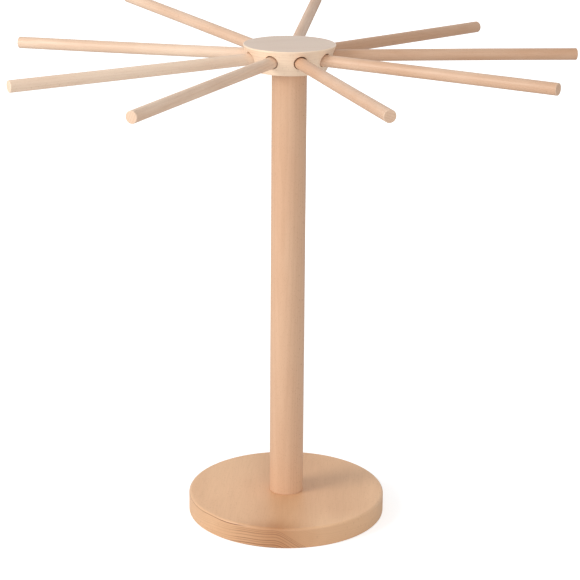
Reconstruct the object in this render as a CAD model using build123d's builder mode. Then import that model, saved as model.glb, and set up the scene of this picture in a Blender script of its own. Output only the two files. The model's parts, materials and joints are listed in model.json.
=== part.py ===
from build123d import *
import os
from math import atan2, cos, degrees, radians, sin, sqrt

os.makedirs("parts", exist_ok=True)

# A free-standing rack: a round base, an upright post, a tapered hub and loose rods pushed into the hub.
# It stands on the XY plane with its post on the Z axis, and its front faces -Y.
# Lengths are in millimetres and angles in degrees.

# Base
base_diameter = 190
base_thickness = 20
base_top_round = 2.5
base_foot_chamfer = 1

# Post: its length is the part that shows, between the shoulders of its two tenons
post_diameter = 32.5
post_length = 416.5

# Hub: a disc that narrows downwards
hub_top_diameter = 86
hub_bottom_diameter = 69
hub_height = 23.5
hub_top_round = 0.9
hub_bottom_round = 0.9

# Tenons: the post's ends, turned down and glued into the base and the hub
tenon_diameter = 20
tenon_length = 12
tenon_chamfer = 1
tenon_glue_gap = 0.1
tenon_end_gap = 0.3

# Rods, numbered clockwise seen from above, from the one at the front left
rod_count = 9
rod_diameter = 11
rod_length = 250
rod_end_round = 0.6
first_rod_turn = 24.9

# Sockets: the play is the gap all round a rod that lies in the middle of its socket. They are drilled level,
# a little above the middle of the hub, apart from the two at the back that point slightly upwards.
socket_lift = 0.8
socket_core_radius = 19.7
socket_play = 0.75
socket_rises = (0, 0, 0, 4.9, 2.4, 0, 0, 0, 0)
rod_tail_gap = 0.45

# How the loose rods lie in their sockets: each rests near the lower lip of its socket, rises or droops a
# little from there, and is turned a little to one side. The shares are of the sockets' play and of the
# largest lean that the play leaves.
rod_drop_share = 0.6
rod_rises = (-1.35, -1.15, -1.0, 0, 0, -1.2, -0.7, 0.3, 0.3)
rod_touch_share = 0.9
rod_lean_shares = (1.0, -1.0, 0.9, -1.0, 0.35, -0.2, -1.0, -0.65, -0.75)

# Wood screw from below, through the base into the post
screw_head_diameter = 10
screw_head_rim = 0.6
screw_shank_diameter = 5
screw_length = 45
screw_tip_length = 6
screw_sink = 0.6
screw_gap = 0.1
screw_slot_length = 5.5
screw_slot_width = 1.1
screw_slot_depth = 2

# How far a cut runs past the face that it opens
cut_overrun = 5

# Places worked out from the sizes above
hub_bottom_height = base_thickness + post_length
hub_top_height = hub_bottom_height + hub_height
tenon_hole_radius = tenon_diameter / 2 + tenon_glue_gap
tenon_hole_depth = tenon_length + tenon_end_gap
socket_radius = rod_diameter / 2 + socket_play
socket_height = hub_bottom_height + hub_height / 2 + socket_lift
hub_taper = (hub_top_diameter - hub_bottom_diameter) / 2 / hub_height
socket_mouth_radius = hub_bottom_diameter / 2 + hub_taper * (socket_height - hub_bottom_height)
socket_depth = socket_mouth_radius - socket_core_radius
hold_length = socket_depth - rod_tail_gap
rod_pitch = 360 / rod_count

# A rod leans about the middle of its hold, until both ends of the hold nearly touch the socket's wall
rod_drop = rod_drop_share * socket_play
side_room = sqrt((rod_touch_share * socket_play) ** 2 - rod_drop**2)
full_lean = degrees(atan2(side_room, hold_length / 2))


def outwards(turn, rise=0):
    """The direction away from the post. turn runs clockwise from the front seen from above, rise is upwards."""
    level = Vector(-sin(radians(turn)), -cos(radians(turn)), 0)
    return level * cos(radians(rise)) + Vector(0, 0, sin(radians(rise)))


def socket_turn(n):
    return first_rod_turn + n * rod_pitch


def socket_rise(n):
    return socket_rises[n % len(socket_rises)]


def socket_mouth(n):
    return outwards(socket_turn(n)) * socket_mouth_radius + Vector(0, 0, socket_height)


def socket_plane(n):
    """The floor of socket n, facing out of the hub."""
    away = outwards(socket_turn(n), socket_rise(n))
    return Plane(origin=socket_mouth(n) - away * socket_depth, x_dir=outwards(socket_turn(n) + 90), z_dir=away)


def rod_plane(n):
    """The tail end of rod n, facing along the rod."""
    lean = rod_lean_shares[n % len(rod_lean_shares)] * full_lean
    rise = socket_rise(n) + rod_rises[n % len(rod_rises)]
    along = outwards(socket_turn(n) + lean, rise)
    side_shift = sin(radians(lean)) * hold_length / 2
    at_mouth = socket_mouth(n) - Vector(0, 0, rod_drop) + outwards(socket_turn(n) + 90) * side_shift
    return Plane(origin=at_mouth - along * hold_length, x_dir=outwards(socket_turn(n) + lean + 90), z_dir=along)


# Base: the tenon's blind hole is on top, the screw's hole comes up from the underside
screw_hole_radius = screw_shank_diameter / 2 + screw_gap
countersink_radius = screw_head_diameter / 2 + screw_sink + screw_head_rim + screw_gap
underside = Plane(origin=(0, 0, 0), x_dir=(1, 0, 0), z_dir=(0, 0, -1))

with BuildPart() as base:
    with BuildSketch(Plane.XY):
        Circle(base_diameter / 2)
    extrude(amount=base_thickness)
    fillet(base.edges().group_by(Axis.Z)[-1], base_top_round)
    chamfer(base.edges().group_by(Axis.Z)[0], base_foot_chamfer)
    with BuildSketch(Plane.XY.offset(base_thickness)):
        Circle(tenon_hole_radius)
    extrude(amount=-tenon_hole_depth, mode=Mode.SUBTRACT)
    with Locations(underside):
        CounterSinkHole(radius=screw_hole_radius, counter_sink_radius=countersink_radius, counter_sink_angle=90)
base.part.label = "base"
export_step(base.part, "parts/base.step")

# Post: a tenon at each end, and a pilot hole that the screw cuts its thread in
screw_tip_height = screw_sink + screw_length

with BuildPart() as post:
    with BuildSketch(Plane.XY.offset(base_thickness)):
        Circle(post_diameter / 2)
    extrude(amount=post_length)
    with BuildSketch(Plane.XY.offset(base_thickness - tenon_length)):
        Circle(tenon_diameter / 2)
    extrude(amount=tenon_length)
    with BuildSketch(Plane.XY.offset(hub_bottom_height)):
        Circle(tenon_diameter / 2)
    extrude(amount=tenon_length)
    tenon_ends = post.faces().filter_by(Axis.Z).group_by(Axis.Z)
    chamfer(tenon_ends[0].edges() + tenon_ends[-1].edges(), tenon_chamfer)
    with BuildSketch(Plane.XY.offset(base_thickness - tenon_length)):
        Circle(screw_hole_radius)
    extrude(amount=screw_tip_height + screw_gap - base_thickness + tenon_length, mode=Mode.SUBTRACT)
post.part.label = "post"
export_step(post.part, "parts/post.step")

# Hub: it sits on the post's shoulder and is glued to the upper tenon
with BuildPart() as hub:
    with BuildSketch(Plane.XY.offset(hub_bottom_height)):
        Circle(hub_bottom_diameter / 2)
    with BuildSketch(Plane.XY.offset(hub_top_height)):
        Circle(hub_top_diameter / 2)
    loft(ruled=True)
    fillet(hub.edges().group_by(Axis.Z)[-1], hub_top_round)
    fillet(hub.edges().group_by(Axis.Z)[0], hub_bottom_round)
    with BuildSketch(Plane.XY.offset(hub_bottom_height)):
        Circle(tenon_hole_radius)
    extrude(amount=tenon_hole_depth, mode=Mode.SUBTRACT)
    for n in range(rod_count):
        with BuildSketch(socket_plane(n)):
            Circle(socket_radius)
        extrude(amount=socket_depth + hub_top_diameter / 2 - socket_mouth_radius + cut_overrun, mode=Mode.SUBTRACT)
hub.part.label = "hub"
export_step(hub.part, "parts/hub.step")

# Rods: plain dowels, cut square with a softened edge at each end
for n in range(rod_count):
    with BuildPart() as rod:
        with BuildSketch(rod_plane(n)):
            Circle(rod_diameter / 2)
        extrude(amount=rod_length)
        fillet(rod.edges().filter_by(GeomType.CIRCLE), rod_end_round)
    rod.part.label = f"rod_{n + 1}"
    export_step(rod.part, f"parts/rod_{n + 1}.step")
    print(rod.part.label, "lies along", rod_plane(n).z_dir, "from", rod_plane(n).origin)

# Base screw: a countersunk head with a cross recess, a plain shank for the thread and a pointed tip
head_radius = screw_head_diameter / 2
shank_radius = screw_shank_diameter / 2
head_cone_height = screw_sink + screw_head_rim
neck_height = head_cone_height + head_radius - shank_radius

with BuildPart() as base_screw:
    with BuildSketch(Plane.XZ):
        with BuildLine():
            Polyline(
                (0, screw_sink),
                (head_radius, screw_sink),
                (head_radius, head_cone_height),
                (shank_radius, neck_height),
                (shank_radius, screw_tip_height - screw_tip_length),
                (0, screw_tip_height),
                close=True,
            )
        make_face()
    revolve(axis=Axis.Z)
    with BuildSketch(Plane.XY.offset(screw_sink)):
        Rectangle(screw_slot_length, screw_slot_width)
        Rectangle(screw_slot_width, screw_slot_length)
    extrude(amount=screw_slot_depth, mode=Mode.SUBTRACT)
base_screw.part.label = "base_screw"
export_step(base_screw.part, "parts/base_screw.step")

print("height", hub_top_height, "full lean", full_lean, "socket height", socket_height, "mouth", socket_mouth_radius)
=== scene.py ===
import json
import math

import bmesh
import bpy
import numpy as np
from mathutils import Matrix, Vector


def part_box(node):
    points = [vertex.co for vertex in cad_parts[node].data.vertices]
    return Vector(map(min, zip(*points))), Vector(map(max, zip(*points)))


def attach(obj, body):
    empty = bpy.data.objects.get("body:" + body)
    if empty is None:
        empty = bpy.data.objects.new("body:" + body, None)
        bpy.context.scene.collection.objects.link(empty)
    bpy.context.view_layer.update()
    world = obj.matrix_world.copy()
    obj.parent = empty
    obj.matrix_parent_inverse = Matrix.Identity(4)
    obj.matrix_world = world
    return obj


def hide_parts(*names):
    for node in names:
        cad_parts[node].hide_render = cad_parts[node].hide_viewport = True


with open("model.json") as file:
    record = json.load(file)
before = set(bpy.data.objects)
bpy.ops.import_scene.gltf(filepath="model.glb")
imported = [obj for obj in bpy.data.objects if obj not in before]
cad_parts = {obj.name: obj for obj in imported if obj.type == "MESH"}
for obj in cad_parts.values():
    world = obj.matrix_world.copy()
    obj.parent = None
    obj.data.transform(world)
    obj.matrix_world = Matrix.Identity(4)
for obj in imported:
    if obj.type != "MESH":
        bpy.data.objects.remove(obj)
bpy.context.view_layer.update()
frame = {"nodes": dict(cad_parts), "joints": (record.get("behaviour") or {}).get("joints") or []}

scene = bpy.context.scene
mm = 0.001
fullTurn = 2 * math.pi
zAxis = np.array([0.0, 0.0, 1.0])


# Shader helpers

class Wire:
    # One output of a node. Arithmetic on it adds a Math node, or a Vector Math node where a vector or a
    # colour takes part
    def __init__(self, shader, socket):
        self.shader = shader
        self.socket = socket

    def isVector(self):
        return self.socket.type in ("VECTOR", "RGBA")

    def join(self, operation, first, second):
        hasVector = any(isinstance(v, Wire) and v.isVector() for v in (first, second))
        inputs = {0: first, 1: second}
        if hasVector and operation == "MULTIPLY" and isinstance(second, (int, float)):
            operation = "SCALE"
            inputs = {0: first, 3: second}
        kind = "ShaderNodeVectorMath" if hasVector else "ShaderNodeMath"
        return self.shader.node(kind, {"operation": operation}, inputs)

    def __add__(self, other):
        return self.join("ADD", self, other)

    __radd__ = __add__

    def __sub__(self, other):
        return self.join("SUBTRACT", self, other)

    def __rsub__(self, other):
        return self.join("SUBTRACT", other, self)

    def __mul__(self, other):
        return self.join("MULTIPLY", self, other)

    __rmul__ = __mul__

    def __truediv__(self, other):
        return self.join("DIVIDE", self, other)


class Shader:
    # A node tree and the one method that adds a node to it
    def __init__(self, tree):
        self.tree = tree
        self.tree.nodes.clear()

    def node(self, kind, settings, inputs, output=0):
        made = self.tree.nodes.new(kind)
        for name, value in settings.items():
            setattr(made, name, value)
        for name, value in inputs.items():
            socket = made.inputs[name]
            if isinstance(value, Wire):
                self.tree.links.new(value.socket, socket)
            else:
                socket.default_value = value
        return Wire(self, made.outputs[output]) if made.outputs else None

    def smooth(self, value, low, high):  # 0 below low, 1 above high, an S curve between
        return self.node("ShaderNodeMapRange", {"interpolation_type": "SMOOTHSTEP"},
                         {"Value": value, "From Min": low, "From Max": high})

    def noise(self, vector, detail=2.0, rough=0.5, output="Fac"):
        return self.node("ShaderNodeTexNoise", {},
                         {"Vector": vector, "Scale": 1.0, "Detail": detail, "Roughness": rough}, output)

    def mix(self, factor, first, second):  # of two colours
        return self.node("ShaderNodeMix", {"data_type": "RGBA"}, {"Factor": factor, 6: first, 7: second}, 2)

    def split(self, vector):  # into its x, y and z
        parts = self.node("ShaderNodeSeparateXYZ", {}, {"Vector": vector})
        return [Wire(self, socket) for socket in parts.socket.node.outputs]

    def vector(self, x, y, z):
        return self.node("ShaderNodeCombineXYZ", {}, {"X": x, "Y": y, "Z": z})

    def length(self, vector):
        return self.node("ShaderNodeVectorMath", {"operation": "LENGTH"}, {0: vector}, "Value")

    def attribute(self, name, output):
        return self.node("ShaderNodeAttribute", {"attribute_name": name}, {}, output)


def newMaterial(name):
    material = bpy.data.materials.new(name)
    material.use_nodes = True
    return material, Shader(material.node_tree)


def tone(red, green, blue):  # a colour as a screen shows it, made linear for a shader
    linear = [c / 12.92 if c <= 0.04045 else ((c + 0.055) / 1.055) ** 2.4 for c in (red, green, blue)]
    return (*linear, 1.0)


# Mesh helpers

meshLimits = {"weld": 0.002 * mm, "sliver": 0.001 * mm, "sharpAngle": 32}
innerRound = 0.1 * mm  # of inner corners that a tenon or the screw hides
sideShare = 0.9  # of its radius, beyond which a point of a dowel's outline is on its side

# The waves of a ripple: how often they go round the piece, their lengths along it in metres, and about a
# full circle in radians
rippleWaves = {"turns": (0, 1, 2, 3), "lengths": (0.04, 0.15), "circle": 6.3}


def softenedOutline(corners, arcSteps=6, hold=0.3 * mm, runStep=5 * mm):
    # Rounds the corners of an outline. Each corner is (radius, height, round). Its arc touches the runs on
    # both sides, a holding point stands a little way along each run, and long runs are divided into equal
    # steps. Returns the points, and for each a mark that is 1 on an arc
    spots = np.array([c[:2] for c in corners])
    points, marks = [spots[0]], [0.0]
    for before, here, after, size in zip(spots, spots[1:], spots[2:], [c[2] for c in corners[1:]]):
        back = (before - here) / np.linalg.norm(before - here)
        ahead = (after - here) / np.linalg.norm(after - here)
        half = math.acos(float(np.clip(back @ ahead, -1, 1))) / 2
        reach = size / math.tan(half)
        middle = here + (back + ahead) / np.linalg.norm(back + ahead) * size / math.sin(half)
        sweep = math.pi - 2 * half
        share = np.linspace(0, 1, arcSteps + 1)[:, None]
        start, end = here + back * reach - middle, here + ahead * reach - middle
        turned = start * np.sin((1 - share) * sweep) + end * np.sin(share * sweep)
        arc = middle + turned / math.sin(sweep)
        points += [here + back * (reach + hold), *arc, here + ahead * (reach + hold)]
        marks += [0.0, *np.ones(arcSteps + 1), 0.0]
    points.append(spots[-1])
    marks.append(0.0)
    finePoints, fineMarks = [points[0]], [marks[0]]
    for start, end, mark in zip(points, points[1:], marks[1:]):
        steps = max(1, int(np.linalg.norm(end - start) / runStep))
        finePoints += list(start + (end - start) * np.linspace(0, 1, steps + 1)[1:, None])
        fineMarks += [0.0] * (steps - 1) + [mark]
    return np.array(finePoints), np.array(fineMarks)


def roundAngles(steps):  # in equal steps round a circle, without the end, which is the start again
    return np.linspace(0, fullTurn, steps + 1)[:-1]


def turnedPoints(outline, angles, along=zAxis, origin=np.zeros(3), swell=None):
    # Turns an outline about an axis: a point stands at its height along the axis, and at its radius in the
    # direction cos(angle) times one cross direction plus sin(angle) times the other
    side = np.cross(zAxis, along)
    isUpright = np.linalg.norm(side) < 0.5
    side = np.array([1.0, 0.0, 0.0]) if isUpright else side / np.linalg.norm(side)
    other = np.cross(along, side)
    radius = outline[:, None, 0] + (0 if swell is None else swell)
    radius = np.where(outline[:, None, 0] > 0, radius, 0)
    around = np.cos(angles)[None, :, None] * side + np.sin(angles)[None, :, None] * other
    return origin + outline[:, None, 1, None] * along + radius[..., None] * around


def ripple(heights, angles, size, seed):
    # The hand-sanded unevenness of a turned surface: the mean of a few long waves, each the cosine of a
    # whole number of turns round the piece times the cosine of a wave along it
    circle = rippleWaves["circle"]
    random = np.random.default_rng(seed)
    total = 0
    for turns in rippleWaves["turns"]:
        length = random.uniform(*rippleWaves["lengths"])
        shift = random.uniform(0, circle)
        start = random.uniform(0, circle)
        around = np.cos(turns * angles[None, :] + shift)
        total = total + around * np.cos(heights[:, None] * circle / length + start)
    return size * total / len(rippleWaves["turns"])


def ringBlock(points, marks):
    # A grid of points whose last column meets its first, the four corners of each of its cells, and the edge
    # mark of each of its rows
    rows, columns = points.shape[:2]
    row, column = np.meshgrid(np.arange(rows - 1), np.arange(columns), indexing="ij")
    nextColumn = (column + 1) % columns
    corners = [row * columns + column, row * columns + nextColumn,
               (row + 1) * columns + nextColumn, (row + 1) * columns + column]
    return points, np.stack(corners, -1).reshape(-1, 4), np.array(marks)[:, None]


def makePiece(name, blocks, body, material):
    # One closed mesh from blocks of (points, faces, edge marks): the blocks are joined, coincident points
    # are welded, and all faces are turned outwards
    points = np.concatenate([p.reshape(-1, 3) for p, _, _ in blocks])
    starts = np.cumsum([0] + [p.reshape(-1, 3).shape[0] for p, _, _ in blocks])
    faces = np.concatenate([f + s for (_, f, _), s in zip(blocks, starts)])
    marks = np.concatenate([np.broadcast_to(m, p.shape[:-1]).reshape(-1) for p, _, m in blocks])
    mesh = bpy.data.meshes.new(name)
    mesh.from_pydata(points.tolist(), [], faces.tolist())
    mesh.attributes.new("edge", "FLOAT", "POINT").data.foreach_set("value", marks.astype(np.float32))
    work = bmesh.new()
    work.from_mesh(mesh)
    bmesh.ops.remove_doubles(work, verts=work.verts, dist=meshLimits["weld"])
    bmesh.ops.dissolve_degenerate(work, edges=work.edges, dist=meshLimits["sliver"])
    bmesh.ops.recalc_face_normals(work, faces=work.faces)
    work.to_mesh(mesh)
    work.free()
    mesh.shade_smooth()
    mesh.set_sharp_from_angle(angle=math.radians(meshLimits["sharpAngle"]))
    piece = bpy.data.objects.new(name, mesh)
    scene.collection.objects.link(piece)
    mesh.materials.append(material)
    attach(piece, body)
    return piece


def meshPoints(mesh):  # as one array
    spots = np.zeros(len(mesh.vertices) * 3, np.float32)
    mesh.vertices.foreach_get("co", spots)
    return spots.reshape(-1, 3).astype(float)


def cutFromLog(piece, centre, fibre, outwards, pithDistance, warmth, shift=0.0, bend=None):
    # Lays the tree's own coordinates on a piece, in millimetres: along the fibre, and across it from the
    # pith, so that growth rings are circles about the pith. outwards is the way from the pith to the piece,
    # and shift is how far up the tree it was. warmth gives how warm the wood's colour is at each point, from
    # 0 to 1, with painted shade and painted light on some pieces, and bend how far the rings rise there
    mesh = piece.data
    spots = meshPoints(mesh)
    fibre = np.array(fibre, float) / np.linalg.norm(fibre)
    outwards = np.array(outwards, float) - np.dot(outwards, fibre) * fibre
    outwards = outwards / np.linalg.norm(outwards)
    across = np.cross(outwards, fibre)
    away = (spots - np.array(centre)) / mm
    grain = np.stack([away @ outwards + pithDistance, away @ across, away @ fibre + shift], -1)
    if bend is not None:
        grain[:, 0] += bend(spots / mm)
    for name, values in (("grain", grain), ("fibre", np.broadcast_to(fibre, grain.shape))):
        data = np.ascontiguousarray(values, np.float32).ravel()
        mesh.attributes.new(name, "FLOAT_VECTOR", "POINT").data.foreach_set("vector", data)
    tones = warmth(spots / mm).astype(np.float32)
    mesh.attributes.new("warmth", "FLOAT", "POINT").data.foreach_set("value", tones)


# Beech: one recipe, with the look that its pieces share. Each piece's own dictionary changes some of it.
# A scale is away from the pith, across and along the fibre, per millimetre, and a range is where something
# starts to show and where it shows in full. Where there are bands, the rings are faint outside them. Each
# band is where it starts and ends from the pith and to the sides, in millimetres, with the length over
# which it fades to the sides and its strength. Each line is a straight dark line, given in the same way

beechLook = {
    "pale": (0.89, 0.735, 0.605), "warm": (0.85, 0.67, 0.535), "late": (0.70, 0.49, 0.35),
    "fleck": (0.62, 0.41, 0.28), "end": (0.86, 0.70, 0.57),
    "ringWidth": 2.4, "ringStrength": 0.28, "fibreStrength": 0.17, "fleckStrength": 0.36,
    "endStrength": 0.3, "edgeHighlight": 0.25, "wander": 4.0, "drift": 0.4, "roughness": 0.45,
    "wanderScale": (0.022, 0.022, 0.006), "driftScale": (0.03, 0.03, 0.008), "driftRange": (0.32, 0.68),
    "unevenScale": 0.11, "uneven": 3.0, "lateStart": (0.40, 0.88), "lateEnd": (0.92, 1.0), "weakest": 0.5,
    "bands": (), "bandSoft": 0.8, "faint": 0.08, "lines": (), "lineSoft": 0.25,
    "coarseScale": (1.1, 1.1, 0.035), "coarseRange": (0.42, 0.75), "coarseShare": 0.55,
    "fineScale": (5.0, 5.0, 0.16), "fineRange": (0.45, 0.75), "fineShare": 0.45,
    "turnLength": 120.0, "rayScale": (0.14, 1.15, 0.30), "rayRange": (0.10, 0.24), "endRange": (0.45, 1.0),
    "sideRings": 0.6, "endRings": 0.9, "endStreaksLost": 0.6, "endFlecksLost": 0.5,
    "bump": 0.35, "bumpDepth": 0.05 * mm, "streakDepth": 0.6, "ringDepth": 0.25, "fleckDepth": 0.4,
    "streakRough": 0.08, "endRough": 0.10, "edgePolish": 0.10,
}


def beech(name, **changes):
    look = {**beechLook, **changes}
    material, s = newMaterial(name)
    grain = s.attribute("grain", "Vector")
    fibre = s.attribute("fibre", "Vector")
    edge = s.attribute("edge", "Fac")
    warmth = s.attribute("warmth", "Fac")

    # the fibres wander slowly through the wood
    wander = s.noise(grain * look["wanderScale"], output="Color") - (0.5, 0.5, 0.5)
    spot = grain + wander * look["wander"]
    x, y, along = s.split(spot)
    fromPith = s.length(s.vector(x, y, 0.0))
    around = s.node("ShaderNodeMath", {"operation": "ARCTAN2"}, {0: y, 1: x}) * look["turnLength"]

    # growth rings: each darkens towards its late wood and ends sharply; their widths and strengths vary
    uneven = s.noise(s.vector(fromPith * look["unevenScale"], 0.0, 0.0), detail=1.0)
    rings = fromPith / look["ringWidth"] + uneven * look["uneven"]
    part = s.node("ShaderNodeMath", {"operation": "FRACT"}, {0: rings})
    number = s.node("ShaderNodeMath", {"operation": "FLOOR"}, {0: rings})
    power = s.node("ShaderNodeTexWhiteNoise", {"noise_dimensions": "1D"}, {"W": number}, "Value")
    late = s.smooth(part, *look["lateStart"]) * (1 - s.smooth(part, *look["lateEnd"]))
    late = late * (power * (1 - look["weakest"]) + look["weakest"])

    def inBand(distance, soft, start, end, left, right, fade, share):
        # the share inside the band, and 0 outside
        band = s.smooth(distance, start - soft, start) * (1 - s.smooth(distance, end, end + soft))
        band = band * s.smooth(y * -1, left - fade / 2, left + fade / 2)
        return band * (1 - s.smooth(y * -1, right - fade / 2, right + fade / 2)) * share

    if look["bands"]:
        bands = (inBand(fromPith, look["bandSoft"], *band) for band in look["bands"])
        late = late * sum(bands, look["faint"])
    late = sum((inBand(x, look["lineSoft"], *line) for line in look["lines"]), late)

    # fibres: two sizes of long streaks
    coarse = s.noise(spot * look["coarseScale"], detail=3.0, rough=0.6)
    fine = s.noise(spot * look["fineScale"], detail=2.0, rough=0.6)
    coarse = s.smooth(coarse, *look["coarseRange"]) * look["coarseShare"]
    fine = s.smooth(fine, *look["fineRange"]) * look["fineShare"]
    streaks = coarse + fine

    # rays: thin across the rings' faces, tall along the fibre, long towards the bark
    rays = [place * scale for place, scale in zip((fromPith, around, along), look["rayScale"])]
    ray = s.node("ShaderNodeTexVoronoi", {"feature": "F1"},
                 {"Vector": s.vector(*rays), "Scale": 1.0, "Randomness": 1.0}, "Distance")
    fleck = 1 - s.smooth(ray, *look["rayRange"])

    # end grain shows where the surface is cut across the fibre
    normal = s.node("ShaderNodeNewGeometry", {}, {}, "Normal")
    facing = s.node("ShaderNodeVectorMath", {"operation": "DOT_PRODUCT"}, {0: normal, 1: fibre}, "Value")
    facing = s.node("ShaderNodeMath", {"operation": "ABSOLUTE"}, {0: facing})
    cutAcross = s.smooth(facing, *look["endRange"])

    # colour drifts slowly between pale and warm beech, where the warmth, with its painted shade and light,
    # sets it, and the rest is laid over it
    drift = s.noise(spot * look["driftScale"], detail=3.0, rough=0.55)
    drift = (s.smooth(drift, *look["driftRange"]) - 0.5) * look["drift"]
    ringShare = late * look["ringStrength"] * (cutAcross * look["endRings"] + look["sideRings"])
    streakShare = streaks * look["fibreStrength"] * (1 - cutAcross * look["endStreaksLost"])
    fleckShare = fleck * look["fleckStrength"] * (1 - cutAcross * look["endFlecksLost"])
    colour = s.mix(warmth + drift, tone(*look["pale"]), tone(*look["warm"]))
    colour = s.mix(cutAcross * look["endStrength"], colour, tone(*look["end"]))
    colour = s.mix(ringShare, colour, tone(*look["late"]))
    colour = s.mix(streakShare, colour, tone(*look["late"]))
    colour = s.mix(fleckShare, colour, tone(*look["fleck"]))
    # rounded edges are painted paler: a painted highlight along them, partly the paler look of worn edges
    colour = s.mix(edge * look["edgeHighlight"], colour, tone(*look["pale"]))

    height = 1 - streaks * look["streakDepth"] - late * look["ringDepth"] - fleck * look["fleckDepth"]
    bump = s.node("ShaderNodeBump", {},
                  {"Strength": look["bump"], "Distance": look["bumpDepth"], "Height": height})
    rough = look["roughness"] + streaks * look["streakRough"] + cutAcross * look["endRough"]
    rough = rough - edge * look["edgePolish"]
    surface = s.node("ShaderNodeBsdfPrincipled", {},
                     {"Base Color": colour, "Roughness": rough, "Normal": bump, "Specular IOR Level": 0.5})
    s.node("ShaderNodeOutputMaterial", {}, {"Surface": surface})
    return material


# Base: a turned disc, softly rounded on top, with a hole for the tenon above and one for the screw below.
# Each spot, the first a painted shadow on the front shoulder and the second painted light on the front
# right, is its place across and ahead, its width and depth, and how much warmth it adds

base = {
    "topRound": 2.5 * mm, "footRound": 0.8 * mm, "tenonHole": 10.1 * mm, "tenonDepth": 12.3 * mm,
    "screwHole": 2.6 * mm, "countersink": 6.3 * mm, "mouthRound": 0.2 * mm,
    "arcSteps": 8, "runStep": 4 * mm, "around": 256,
    "fibre": (0.06, 1, 0), "outwards": (0, 0, 1), "pithDistance": 600.0,
    "dropStart": -12.0, "dropWidth": 42.0, "drop": 20.0, "wave": 0.3, "waveStretch": 5,
    # the middle band and the spots below are painted shade and painted light laid on the base's warmth
    "paleWarmth": 0.1, "shadeBandWarmth": 0.34, "shadeBandPlace": 8.0, "shadeBandWidth": 34.0,
    "shadeAndLightSpots": ((-14.0, -95.0, 32.0, 18.0, 0.6), (50.0, -88.0, 34.0, 22.0, -0.32)),
    "look": {
        "pale": (0.925, 0.75, 0.585), "warm": (0.75, 0.535, 0.365), "late": (0.52, 0.31, 0.19),
        "end": (0.83, 0.63, 0.47), "ringStrength": 0.48, "fibreStrength": 0.12, "fleckStrength": 0.18,
        "edgeHighlight": 0.0, "wander": 1.2, "drift": 0.2,
        "bands": ((594.0, 617.4, -44.0, 40.0, 14.0, 1.0), (594.0, 617.4, -95.0, -44.0, 14.0, 0.3)),
        # the line is painted shade: a dark line along the crease where the top's rounding begins
        "lines": ((618.15, 618.6, -110.0, -36.0, 16.0, 1.5),),
    },
}


def bendOfBase(spots):
    # the rings lie flat on the left and dive down to the right, as beside a knot: an S curve plus a sine
    share = np.clip((spots[:, 0] - base["dropStart"]) / base["dropWidth"], 0, 1)
    wave = base["wave"] * np.sin(spots[:, 0] / base["waveStretch"])
    return base["drop"] * share * share * (3 - 2 * share) + wave


def warmthOfBase(spots):
    # painted shade: a darker, warmer band runs from front to back across the middle, a painted shadow; one
    # spot adds more painted shade on the front shoulder and the other paints the front right paler: bell
    # curves
    across, ahead = spots[:, 0], spots[:, 1]
    shadeBand = np.exp(-((across - base["shadeBandPlace"]) / base["shadeBandWidth"]) ** 2)
    total = base["paleWarmth"] + base["shadeBandWarmth"] * shadeBand
    for middle, front, width, depth, strength in base["shadeAndLightSpots"]:
        bell = np.exp(-((across - middle) / width) ** 2 - ((ahead - front) / depth) ** 2)
        total = total + strength * bell
    return total


def makeBase():
    low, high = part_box("base")
    radius = (high.x - low.x) / 2
    floorHeight = high.z - base["tenonDepth"]
    outline, marks = softenedOutline([
        (base["screwHole"], floorHeight, 0),
        (base["screwHole"], base["countersink"] - base["screwHole"], innerRound),
        (base["countersink"], low.z, base["mouthRound"]),
        (radius, low.z, base["footRound"]),
        (radius, high.z, base["topRound"]),
        (base["tenonHole"], high.z, base["mouthRound"]),
        (base["tenonHole"], floorHeight, innerRound),
        (base["screwHole"], floorHeight, 0),
    ], arcSteps=base["arcSteps"], runStep=base["runStep"])
    points = turnedPoints(outline, roundAngles(base["around"]))
    piece = makePiece("base_disc", [ringBlock(points, marks)], "stand",
                      beech("base_beech", **base["look"]))
    cutFromLog(piece, (0, 0, 0), base["fibre"], base["outwards"], base["pithDistance"], warmthOfBase,
               bend=bendOfBase)
    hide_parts("base")
    print("base made")


# Post: a long turned dowel with a tenon at each end and the screw's pilot hole in its foot. Its wood is
# painted paler below the first of two heights, painted light that offsets the warmer, darker light near the
# base, and warmer above the second

post = {
    "tenon": 10 * mm, "tenonLength": 12 * mm, "tenonChamfer": 0.8 * mm, "shoulderRound": 0.25 * mm,
    "pilotHole": 2.6 * mm, "pilotTop": 45.7 * mm,
    "ripple": 0.05 * mm, "rippleSeed": 5, "rippleFade": 10 * mm,
    "arcSteps": 5, "hold": 0.15 * mm, "runStep": 5 * mm, "around": 128,
    "fibre": (0.012, 0.008, 1), "outwards": (0.35, 1, 0), "pithDistance": 95.0,
    "heights": (60.0, 150.0), "warmths": (0.1, 0.4),
    "look": {"ringStrength": 0.16, "fibreStrength": 0.12},
}


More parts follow.
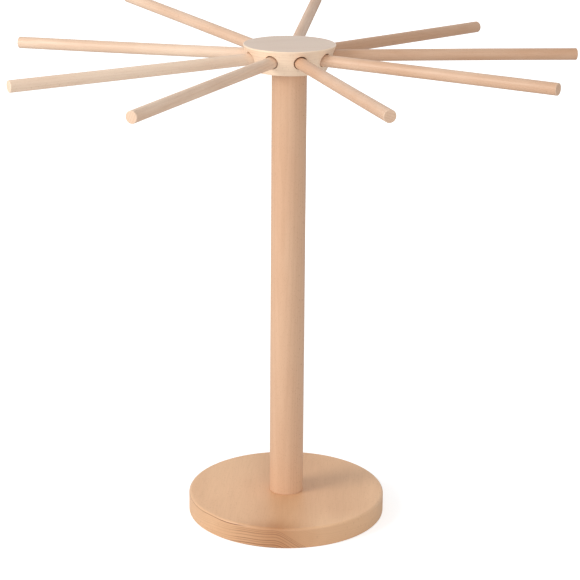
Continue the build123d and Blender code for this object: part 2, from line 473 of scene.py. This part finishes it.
def makePost():
    low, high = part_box("post")
    radius = (high.x - low.x) / 2
    foot, neck = low.z + post["tenonLength"], high.z - post["tenonLength"]
    outline, marks = softenedOutline([
        (0, post["pilotTop"], 0),
        (post["pilotHole"], post["pilotTop"], innerRound),
        (post["pilotHole"], low.z, innerRound),
        (post["tenon"], low.z, post["tenonChamfer"]),
        (post["tenon"], foot, innerRound),
        (radius, foot, post["shoulderRound"]),
        (radius, neck, post["shoulderRound"]),
        (post["tenon"], neck, innerRound),
        (post["tenon"], high.z, post["tenonChamfer"]),
        (0, high.z, 0),
    ], arcSteps=post["arcSteps"], hold=post["hold"], runStep=post["runStep"])
    angles = roundAngles(post["around"])
    heights = outline[:, 1]
    fade = np.clip((heights - foot) / post["rippleFade"], 0, 1)
    fade = fade * np.clip((neck - heights) / post["rippleFade"], 0, 1)
    fade = fade * (outline[:, 0] > sideShare * radius)
    swell = ripple(heights, angles, post["ripple"], post["rippleSeed"]) * fade[:, None]
    points = turnedPoints(outline, angles, swell=swell)
    piece = makePiece("post_dowel", [ringBlock(points, marks)], "stand",
                      beech("post_beech", **post["look"]))
    cutFromLog(piece, (0, 0, 0), post["fibre"], post["outwards"], post["pithDistance"],
               # paler at the foot: painted light
               lambda spots: np.interp(spots[:, 2], post["heights"], post["warmths"]))
    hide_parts("post")
    print("post made")


# Hub: a disc that narrows downwards, with a row of sockets in its side. Its top face alone is warm: a
# duller, darker tone painted on it, painted shade of the top

hub = {
    "topRadius": 43 * mm, "bottomRadius": 34.5 * mm, "topRound": 0.9 * mm, "bottomRound": 0.9 * mm,
    "socket": 6.25 * mm, "socketCore": 19.7 * mm, "socketRound": 0.3 * mm, "socketLift": 12.55 * mm,
    "tenonHole": 10.1 * mm, "tenonDepth": 12.3 * mm, "mouthRound": 0.2 * mm,
    "firstTurn": 24.9, "rises": (0, 0, 0, 4.9, 2.4, 0, 0, 0, 0),
    "arcSteps": 7, "runStep": 4 * mm, "nearCone": 0.001 * mm,
    "across": 16, "up": 14, "face": 9, "lip": 6, "wall": 8, "floor": (0.95, 0.5, 0.0),
    "gathering": 0.7, "rounds": 12,
    "fibre": (1, 0.25, 0), "outwards": (0, 0, 1), "pithDistance": 310.0, "shift": 400.0, "shadedTopSkin": 0.05,
    "look": {
        # warm here is the top face's painted shade
        "pale": (0.99, 0.885, 0.775), "warm": (0.87, 0.775, 0.695),
        "ringStrength": 0.14, "fibreStrength": 0.12, "fleckStrength": 0.1,
        # the rims' painted highlight is strongest on the hub
        "edgeHighlight": 0.6, "drift": 0.12, "roughness": 0.38,
    },
}


def hubSlope():  # how much the radius of the hub grows for each metre upwards
    low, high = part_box("hub")
    return (hub["topRadius"] - hub["bottomRadius"]) / (high.z - low.z)


def socketPatch(turn, rise, sideLow, sideHigh, low, pitch):
    # One socket's part of the hub's side, as rings of points from its border to the middle of its floor.
    # The border is a rectangle in (angle, height), the mouth is where the socket meets the cone, and the
    # rings between are blends of the two
    slope = hubSlope()
    middle = low + hub["socketLift"]
    mouthRadius = hub["bottomRadius"] + slope * hub["socketLift"]
    along, up = (np.linspace(-1, 1, n + 1)[:-1] for n in (hub["across"], hub["up"]))
    edgeAngle = np.concatenate([along, np.ones(up.size), -along, -np.ones(up.size)]) * pitch / 2
    edgeShare = np.concatenate([-np.ones(along.size), up, np.ones(along.size), -up])
    edgeHeight = (sideLow + sideHigh) / 2 + edgeShare * (sideHigh - sideLow) / 2
    direction = np.arctan2(edgeHeight - middle, edgeAngle * mouthRadius)

    def place(radius, out):
        # away, beside and up parts of the points at this radius from the socket's axis and this far out
        beside = radius * np.cos(direction)
        above = radius * np.sin(direction)
        away = mouthRadius + out * math.cos(rise) - above * math.sin(rise)
        height = middle + out * math.sin(rise) + above * math.cos(rise)
        return away, beside, height

    def onCone(radius):
        # how far out the points at this radius meet the cone, found by stepping towards it
        out = 0.0
        for _ in range(hub["rounds"]):
            away, beside, height = place(radius, out)
            out = out - np.hypot(away, beside) + hub["bottomRadius"] + slope * (height - low)
        return out

    mouth = hub["socket"] + hub["socketRound"]
    away, beside, height = place(mouth, onCone(mouth))
    mouthAngle = np.arctan2(beside, away)
    blend = np.linspace(0, 1, hub["face"])[:, None] ** hub["gathering"]
    ringAngle = edgeAngle + (mouthAngle - edgeAngle) * blend
    ringHeight = edgeHeight + (height - edgeHeight) * blend
    ringRadius = hub["bottomRadius"] + slope * (ringHeight - low)
    rings = [*np.stack([ringRadius * np.cos(ringAngle), ringRadius * np.sin(ringAngle), ringHeight], -1)]
    marks = [0.0] * hub["face"]
    for curl in np.linspace(0, math.pi / 2, hub["lip"])[1:]:
        radius = hub["socket"] + hub["socketRound"] * (1 - math.sin(curl))
        out = onCone(radius) - hub["socketRound"] * (1 - math.cos(curl))
        rings.append(np.stack(place(radius, out), -1))
        marks.append(1.0)
    floor = hub["socketCore"] - mouthRadius
    for share in np.linspace(0, 1, hub["wall"])[1:]:
        rings.append(np.stack(place(hub["socket"], out + (floor - out) * share), -1))
        marks.append(0.0)
    for share in hub["floor"]:
        rings.append(np.stack(place(hub["socket"] * share, floor), -1))
        marks.append(0.0)
    away = np.array([math.cos(turn), math.sin(turn), 0])
    beside = np.array([-math.sin(turn), math.cos(turn), 0])
    rings = np.stack(rings)
    points = rings[..., :1] * away + rings[..., 1:2] * beside + rings[..., 2:] * zAxis
    return ringBlock(points, marks)


def makeHub():
    low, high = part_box("hub")
    holeTop = low.z + hub["tenonDepth"]
    outline, marks = softenedOutline([
        (0, holeTop, 0),
        (hub["tenonHole"], holeTop, innerRound),
        (hub["tenonHole"], low.z, hub["mouthRound"]),
        (hub["bottomRadius"], low.z, hub["bottomRound"]),
        (hub["topRadius"], high.z, hub["topRound"]),
        (0, high.z, 0),
    ], arcSteps=hub["arcSteps"], runStep=hub["runStep"])
    fromCone = np.abs(outline[:, 0] - hub["bottomRadius"] - hubSlope() * (outline[:, 1] - low.z))
    first, last = np.flatnonzero(fromCone < hub["nearCone"])[[1, -2]]
    sideLow, sideHigh = outline[first, 1], outline[last, 1]

    # the faces above and below the side, in as many steps round as the sockets' patches have on their edges
    count = len(hub["rises"])
    pitch = fullTurn / count
    start = -math.pi / 2 - math.radians(hub["firstTurn"])
    angles = start - pitch / 2 + roundAngles(hub["across"] * count)
    blocks = []
    for rows in (slice(0, first + 1), slice(last, None)):
        blocks.append(ringBlock(turnedPoints(outline[rows], angles), marks[rows]))
    for n, rise in enumerate(hub["rises"]):
        blocks.append(socketPatch(start - n * pitch, math.radians(rise), sideLow, sideHigh, low.z, pitch))
    piece = makePiece("hub_disc", blocks, "stand", beech("hub_beech", **hub["look"]))
    # warmth is 1 on the top face alone: the painted shade of the top
    cutFromLog(piece, (0, 0, low.z), hub["fibre"], hub["outwards"], hub["pithDistance"],
               lambda spots: (spots[:, 2] > high.z / mm - hub["shadedTopSkin"]) * 1.0, hub["shift"])
    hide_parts("hub")
    print("hub made")


# Rods: dowels along their joints' axes, each from its own place in the tree. They are straight where the
# sockets hold them and bow a little beyond. The warmths are given one by one in their order round the hub:
# partly the rods' own tone, partly painted light and shade, paler for the rods on the left and darker for
# those on the right

rods = {
    "endRound": 0.6 * mm, "straight": 25 * mm, "bow": 0.3 * mm,
    "ripple": 0.03 * mm, "rippleSeeds": 1000, "rippleRise": 8, "rippleFade": 4 * mm,
    "runStep": 4 * mm, "around": 64, "seed": 11,
    "lean": 0.02, "pithDistance": (60, 160), "shift": (0, 4000),
    # paler on the left, darker on the right: partly painted light and shade
    "warmths": (0.35, 0.0, 0.33, 0.45, 0.75, 1.0, 0.85, 0.65, 0.7),
    "look": {
        "pale": (0.965, 0.865, 0.77), "warm": (0.82, 0.65, 0.52), "end": (0.93, 0.80, 0.69),
        "ringWidth": 2.1, "ringStrength": 0.16, "fibreStrength": 0.2, "fleckStrength": 0.2,
    },
}


def makeRods():
    random = np.random.default_rng(rods["seed"])
    material = beech("rod_beech", **rods["look"])
    for joint, warmth in zip(frame["joints"], rods["warmths"]):
        name = joint["child"]
        low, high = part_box(name)
        centre = np.array((low + high) / 2)
        spots = meshPoints(frame["nodes"][name].data) - centre
        axis = np.linalg.svd(spots, full_matrices=False)[2][0]  # the long axis of the CAD rod
        axis = axis * np.sign(axis @ np.array(joint["axis"]))
        half = np.abs(spots @ axis).max()
        radius = np.linalg.norm(spots - (spots @ axis)[:, None] * axis, axis=1).max()
        outline, marks = softenedOutline([
            (0, -half, 0),
            (radius, -half, rods["endRound"]),
            (radius, half, rods["endRound"]),
            (0, half, 0),
        ], runStep=rods["runStep"])
        angles = roundAngles(rods["around"])
        heights = outline[:, 1]
        free = np.clip((heights + half - rods["straight"]) / (2 * half - rods["straight"]), 0, 1)
        fade = np.minimum(free * rods["rippleRise"], 1)
        fade = fade * np.clip((half - heights) / rods["rippleFade"], 0, 1)
        fade = fade * (outline[:, 0] > sideShare * radius)
        seed = int(random.integers(rods["rippleSeeds"]))
        swell = ripple(heights, angles, rods["ripple"], seed) * fade[:, None]
        points = turnedPoints(outline, angles, axis, centre, swell)

        # the bow is half a sine wave along the free length, to a side of its own
        bowTurn = random.uniform(0, fullTurn)
        level = np.cross(zAxis, axis)
        bowWay = level * math.cos(bowTurn) + np.cross(axis, level) * math.sin(bowTurn)
        points = points + (np.sin(math.pi * free) * rods["bow"])[:, None, None] * bowWay
        piece = makePiece(name + "_dowel", [ringBlock(points, marks)], name, material)

        lean = random.uniform(-rods["lean"], rods["lean"], 3)
        spin = random.uniform(0, fullTurn)
        outwards = level * math.cos(spin) + np.cross(axis, level) * math.sin(spin)
        pithDistance = random.uniform(*rods["pithDistance"])
        shift = random.uniform(*rods["shift"])
        cutFromLog(piece, centre, axis + lean, outwards, pithDistance,
                   lambda spots: np.full(len(spots), warmth), shift)
        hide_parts(name)
    print("rods made")


# Screw: zinc plated steel with fine turning marks round its axis and a cloudy sheen

screw = {
    "pale": (0.66, 0.665, 0.68), "dark": (0.53, 0.53, 0.545), "cloudScale": 900.0,
    "cloudRange": (0.35, 0.7), "markScale": 9.0, "bump": 0.3, "bumpDepth": 0.02 * mm,
    "roughness": 0.30, "cloudRough": 0.2,
}


def finishScrew():
    material, s = newMaterial("screw_zinc")
    place = s.node("ShaderNodeTexCoord", {}, {}, "Object")
    x, y, z = s.split(place * (1 / mm))
    fromAxis = s.length(s.vector(x, y, 0.0))
    marks = s.vector(fromAxis * screw["markScale"], z * screw["markScale"], 0.0)
    marks = s.noise(marks, detail=2.0, rough=0.6)
    cloud = s.noise(place * screw["cloudScale"], detail=3.0, rough=0.6)
    colour = s.mix(s.smooth(cloud, *screw["cloudRange"]), tone(*screw["pale"]), tone(*screw["dark"]))
    bump = s.node("ShaderNodeBump", {},
                  {"Strength": screw["bump"], "Distance": screw["bumpDepth"], "Height": marks})
    rough = screw["roughness"] + cloud * screw["cloudRough"]
    surface = s.node("ShaderNodeBsdfPrincipled", {},
                     {"Base Color": colour, "Metallic": 1.0, "Roughness": rough, "Normal": bump})
    s.node("ShaderNodeOutputMaterial", {}, {"Surface": surface})
    slots = frame["nodes"]["base_screw"].data.materials
    slots.clear()
    slots.append(material)
    print("screw finished")


# Floor, world and lamps. The floor glows for the camera alone, and more in its far parts

white = (1, 1, 1, 1)
studio = {
    "floorHeight": -0.05 * mm, "floorSize": 30.0, "floorColour": (0.90, 0.90, 0.90),
    "nearGlow": 0.52, "farGlow": 0.85, "glowRange": (0.2, 1.2),
    "ambient": (0.97, 0.985, 1.0), "ambientStrength": 0.58, "lampAim": (0, 0, 0.28),
}
lamps = {
    "key": {"place": (-1.27, -0.62, 1.0), "size": 0.8, "power": 13, "colour": (1.0, 0.975, 0.95)},
    "front": {"place": (0.4, -2.25, 0.8), "size": 1.6, "power": 11, "colour": (1.0, 0.97, 0.94)},
}


def makeFloor():
    half = studio["floorSize"] / 2
    corners = ((-half, -half), (half, -half), (half, half), (-half, half))
    mesh = bpy.data.meshes.new("floor")
    mesh.from_pydata([(x, y, studio["floorHeight"]) for x, y in corners], [], [(0, 1, 2, 3)])
    floor = bpy.data.objects.new("floor", mesh)
    scene.collection.objects.link(floor)
    material, s = newMaterial("floor_white")
    seen = s.node("ShaderNodeLightPath", {}, {}, "Is Camera Ray")
    away = s.length(s.node("ShaderNodeTexCoord", {}, {}, "Object"))
    strength = s.smooth(away, *studio["glowRange"]) * (studio["farGlow"] - studio["nearGlow"])
    strength = strength + studio["nearGlow"]
    plain = s.node("ShaderNodeBsdfDiffuse", {}, {"Color": tone(*studio["floorColour"])})
    glow = s.node("ShaderNodeEmission", {}, {"Color": white, "Strength": seen * strength})
    both = s.node("ShaderNodeAddShader", {}, {0: plain, 1: glow})
    s.node("ShaderNodeOutputMaterial", {}, {"Surface": both})
    mesh.materials.append(material)
    print("floor made")


def makeLight():
    world = bpy.data.worlds.new("studio")
    world.use_nodes = True
    scene.world = world
    s = Shader(world.node_tree)
    seen = s.node("ShaderNodeLightPath", {}, {}, "Is Camera Ray")
    for output in ("Is Glossy Ray", "Is Transmission Ray"):
        seen = seen.join("MAXIMUM", seen, s.node("ShaderNodeLightPath", {}, {}, output))
    ambient = s.node("ShaderNodeBackground", {},
                     {"Color": (*studio["ambient"], 1), "Strength": studio["ambientStrength"]})
    backdrop = s.node("ShaderNodeBackground", {}, {"Color": white, "Strength": 1.0})
    surface = s.node("ShaderNodeMixShader", {}, {0: seen, 1: ambient, 2: backdrop})
    s.node("ShaderNodeOutputWorld", {}, {"Surface": surface})
    aim = Vector(studio["lampAim"])
    for name, look in lamps.items():
        lamp = bpy.data.lights.new(name, "AREA")
        lamp.shape = "DISK"
        lamp.size = look["size"]
        lamp.energy = look["power"]
        lamp.color = look["colour"]
        holder = bpy.data.objects.new(name, lamp)
        holder.location = look["place"]
        holder.rotation_euler = (aim - Vector(look["place"])).to_track_quat("-Z", "Y").to_euler()
        scene.collection.objects.link(holder)
    scene.view_settings.view_transform = "Standard"
    print("light made")


# Camera: where the photograph was taken from, with its frame of 580 by 580 pixels

view = {
    "across": 2.2 * mm, "back": 1717.4 * mm, "height": 770.8 * mm, "pitch": 17.655, "roll": 0.463,
    "focalPixels": 1897.9, "framePixels": 580, "sensor": 36.0, "nearest": 0.05, "farthest": 100,
}


def makeCamera():
    data = bpy.data.cameras.new("camera")
    data.sensor_width = view["sensor"]
    data.lens = view["focalPixels"] * view["sensor"] / view["framePixels"]
    data.clip_start = view["nearest"]
    data.clip_end = view["farthest"]
    camera = bpy.data.objects.new("camera", data)
    place = Matrix.Translation((view["across"], -view["back"], view["height"]))
    tilt = Matrix.Rotation(math.radians(90 - view["pitch"]), 4, "X")
    roll = Matrix.Rotation(math.radians(view["roll"]), 4, "Z")
    camera.matrix_world = place @ tilt @ roll
    scene.collection.objects.link(camera)
    scene.camera = camera
    print("camera made")


makeCamera()
makeBase()
makePost()
makeHub()
makeRods()
finishScrew()
makeFloor()
makeLight()
